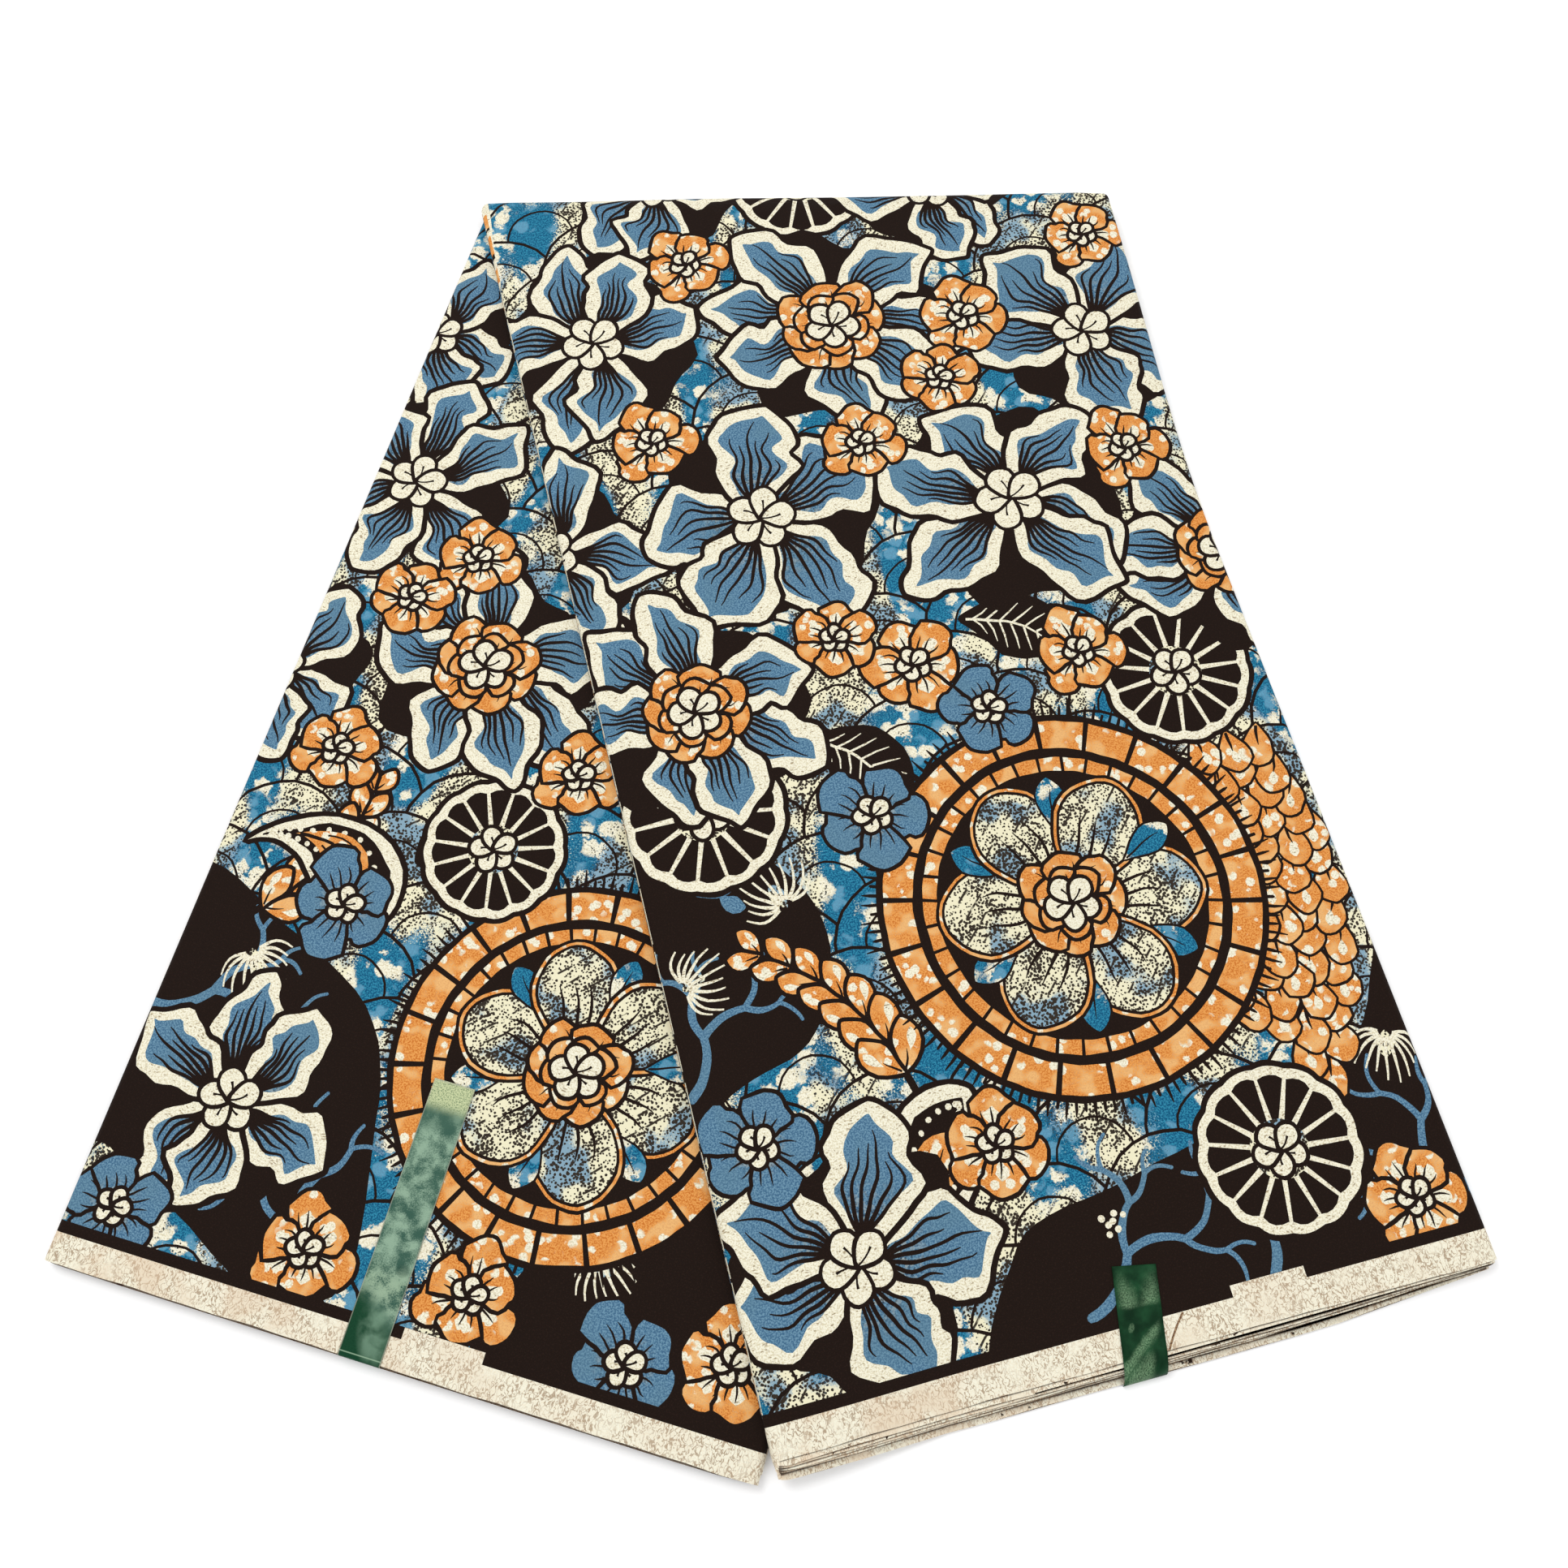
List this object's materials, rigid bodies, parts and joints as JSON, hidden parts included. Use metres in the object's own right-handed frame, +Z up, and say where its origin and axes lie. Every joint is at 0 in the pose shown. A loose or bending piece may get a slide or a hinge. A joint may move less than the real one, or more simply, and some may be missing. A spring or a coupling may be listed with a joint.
{
  "type": "folded wax print fabric length",
  "caption": "Length of cotton wax print cloth, folded to a strip and laid over itself so that its two legs fan out flat, with a tape round each hem.",
  "frame": {"origin": "on the floor under the middle of the whole folded cloth", "axes": "+X to the right as the cloth is seen from above with its fold at the top, +Y towards the fold, +Z up"},
  "size_m": [0.6051, 0.6171, 0.0133],
  "materials": {
    "printed_cloth": "matt cotton, printed in blue, orange, cream and black, with a faint wax sheen",
    "inner_cloth": "matt cotton, cream selvedge",
    "tape": "mottled green satin"
  },
  "bodies": {
    "root": {"inner_layers": "inner_cloth", "front_outer_layer": "printed_cloth", "rear_outer_layer": "printed_cloth", "front_tape": "tape", "rear_tape": "tape"}
  },
  "joints": []
}
